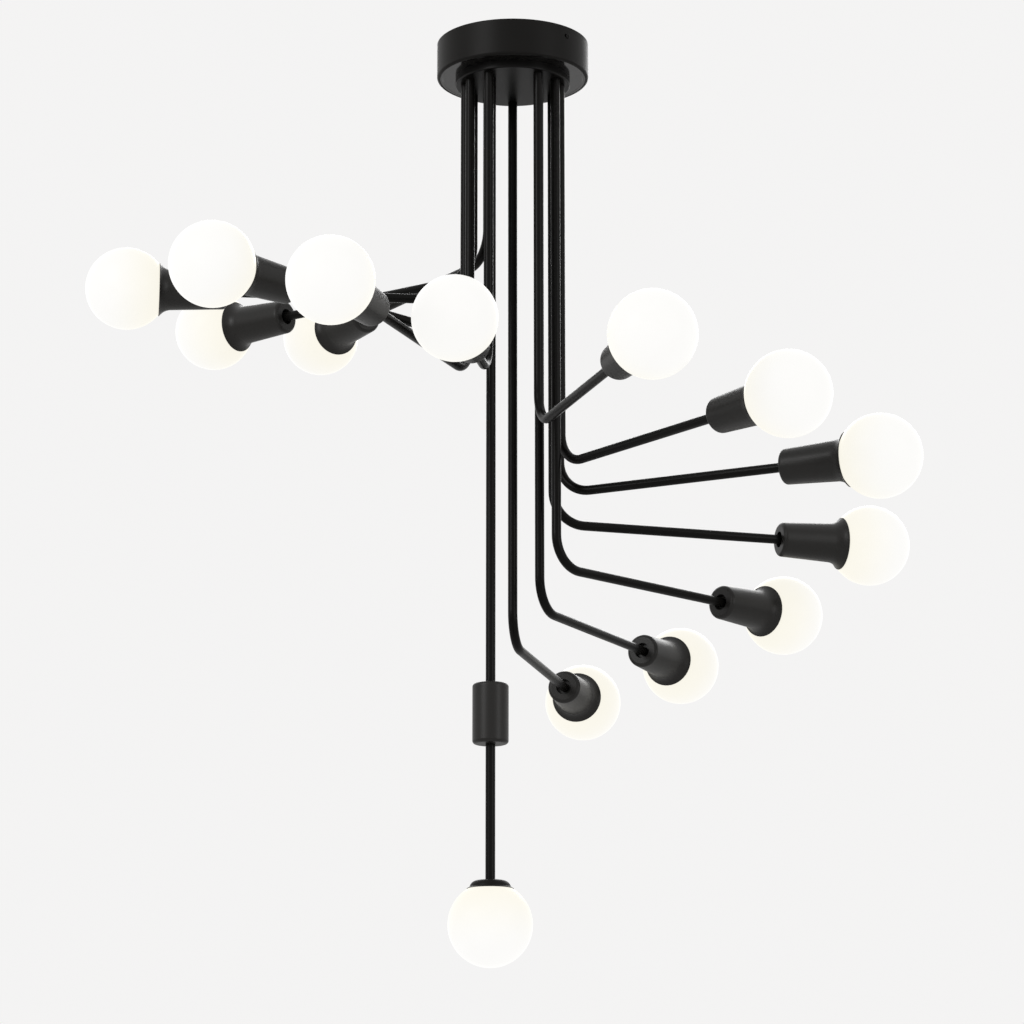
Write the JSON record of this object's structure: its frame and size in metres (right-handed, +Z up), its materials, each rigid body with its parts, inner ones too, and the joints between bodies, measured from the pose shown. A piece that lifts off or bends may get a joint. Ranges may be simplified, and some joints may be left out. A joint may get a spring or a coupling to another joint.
{
  "type": "sputnik chandelier",
  "caption": "Hanging light with bent tube arms that fan out in a descending spiral from a round canopy, each ending in a socket cup and a globe bulb, round a straight drop with a globe.",
  "frame": {"origin": "middle of the canopy's top, in the ceiling plane", "axes": "+Z up into the ceiling, the viewer of the picture stands on the -Y side, +X to the viewer's right"},
  "size_m": [0.9663, 0.9611, 1.0935],
  "materials": {
    "satin_black": "fine satin black powder coat on steel",
    "opal_glass": "white opal glass, lit from inside",
    "clear_glass": "clear capsule glass",
    "nickel": "nickel-plated screw cap",
    "brass": "plain brass shell and contact",
    "zinc": "zinc-plated steel",
    "black_screw": "black-oxide steel screw",
    "holder_plastic": "moulded black thermoset",
    "terminal_plastic": "off-white moulded plastic",
    "ceramic": "unglazed white ceramic"
  },
  "bodies": {
    "fixture": {"canopy_cup": "satin_black", "canopy_plate": "satin_black", "stem_boss": "satin_black", "ceiling_bracket": "zinc", "canopy_screws": "black_screw", "terminal_block": "terminal_plastic", "drop_stem": "satin_black", "stem_coupling": "satin_black", "drop_rod": "satin_black", "dome_cap": "satin_black", "nipples": "zinc", "lock_nuts": "zinc", "washers": "zinc", "socket_cups": "satin_black", "lampholders": "holder_plastic", "screw_shells": "brass", "centre_contacts": "brass", "pin_holder": "ceramic", "arm_01": "satin_black", "arm_02": "satin_black", "arm_03": "satin_black", "arm_04": "satin_black", "arm_05": "satin_black", "arm_06": "satin_black", "arm_07": "satin_black", "arm_08": "satin_black", "arm_09": "satin_black", "arm_10": "satin_black", "arm_11": "satin_black", "arm_12": "satin_black", "arm_13": "satin_black"},
    "bulb_01": {"globe_01": "opal_glass", "screw_cap_01": "nickel"},
    "bulb_02": {"globe_02": "opal_glass", "screw_cap_02": "nickel"},
    "bulb_03": {"globe_03": "opal_glass", "screw_cap_03": "nickel"},
    "bulb_04": {"globe_04": "opal_glass", "screw_cap_04": "nickel"},
    "bulb_05": {"globe_05": "opal_glass", "screw_cap_05": "nickel"},
    "bulb_06": {"globe_06": "opal_glass", "screw_cap_06": "nickel"},
    "bulb_07": {"globe_07": "opal_glass", "screw_cap_07": "nickel"},
    "bulb_08": {"globe_08": "opal_glass", "screw_cap_08": "nickel"},
    "bulb_09": {"globe_09": "opal_glass", "screw_cap_09": "nickel"},
    "bulb_10": {"globe_10": "opal_glass", "screw_cap_10": "nickel"},
    "bulb_11": {"globe_11": "opal_glass", "screw_cap_11": "nickel"},
    "bulb_12": {"globe_12": "opal_glass", "screw_cap_12": "nickel"},
    "bulb_13": {"globe_13": "opal_glass", "screw_cap_13": "nickel"},
    "drop_shade": {"drop_globe": "opal_glass"},
    "drop_lamp": {"capsule_lamp": "clear_glass"}
  },
  "joints": [
    {"name": "bulb_01_release", "type": "slide", "parent": "fixture", "child": "bulb_01", "axis": [-0.5446, 0.8387, 0], "range_m": [0, 0.056]},
    {"name": "bulb_02_release", "type": "slide", "parent": "fixture", "child": "bulb_02", "axis": [-0.8192, 0.5736, 0], "range_m": [0, 0.056]},
    {"name": "bulb_03_release", "type": "slide", "parent": "fixture", "child": "bulb_03", "axis": [-0.9925, -0.1219, 0], "range_m": [0, 0.056]},
    {"name": "bulb_04_release", "type": "slide", "parent": "fixture", "child": "bulb_04", "axis": [-0.682, -0.7314, 0], "range_m": [0, 0.056]},
    {"name": "bulb_05_release", "type": "slide", "parent": "fixture", "child": "bulb_05", "axis": [-0.3584, -0.9336, 0], "range_m": [0, 0.056]},
    {"name": "bulb_06_release", "type": "slide", "parent": "fixture", "child": "bulb_06", "axis": [-0.1564, -0.9877, 0], "range_m": [0, 0.056]},
    {"name": "bulb_07_release", "type": "slide", "parent": "fixture", "child": "bulb_07", "axis": [0.2924, -0.9563, 0], "range_m": [0, 0.056]},
    {"name": "bulb_08_release", "type": "slide", "parent": "fixture", "child": "bulb_08", "axis": [0.6018, -0.7986, 0], "range_m": [0, 0.056]},
    {"name": "bulb_09_release", "type": "slide", "parent": "fixture", "child": "bulb_09", "axis": [0.891, -0.454, 0], "range_m": [0, 0.056]},
    {"name": "bulb_10_release", "type": "slide", "parent": "fixture", "child": "bulb_10", "axis": [0.9563, 0.2924, 0], "range_m": [0, 0.056]},
    {"name": "bulb_11_release", "type": "slide", "parent": "fixture", "child": "bulb_11", "axis": [0.7071, 0.7071, 0], "range_m": [0, 0.056]},
    {"name": "bulb_12_release", "type": "slide", "parent": "fixture", "child": "bulb_12", "axis": [0.454, 0.891, 0], "range_m": [0, 0.056]},
    {"name": "bulb_13_release", "type": "slide", "parent": "fixture", "child": "bulb_13", "axis": [0.225, 0.9744, 0], "range_m": [0, 0.056]},
    {"name": "drop_shade_release", "type": "slide", "parent": "fixture", "child": "drop_shade", "axis": [0, 0, -1], "range_m": [0, 0.065]},
    {"name": "drop_lamp_release", "type": "slide", "parent": "fixture", "child": "drop_lamp", "axis": [0, 0, -1], "range_m": [0, 0.012]}
  ]
}
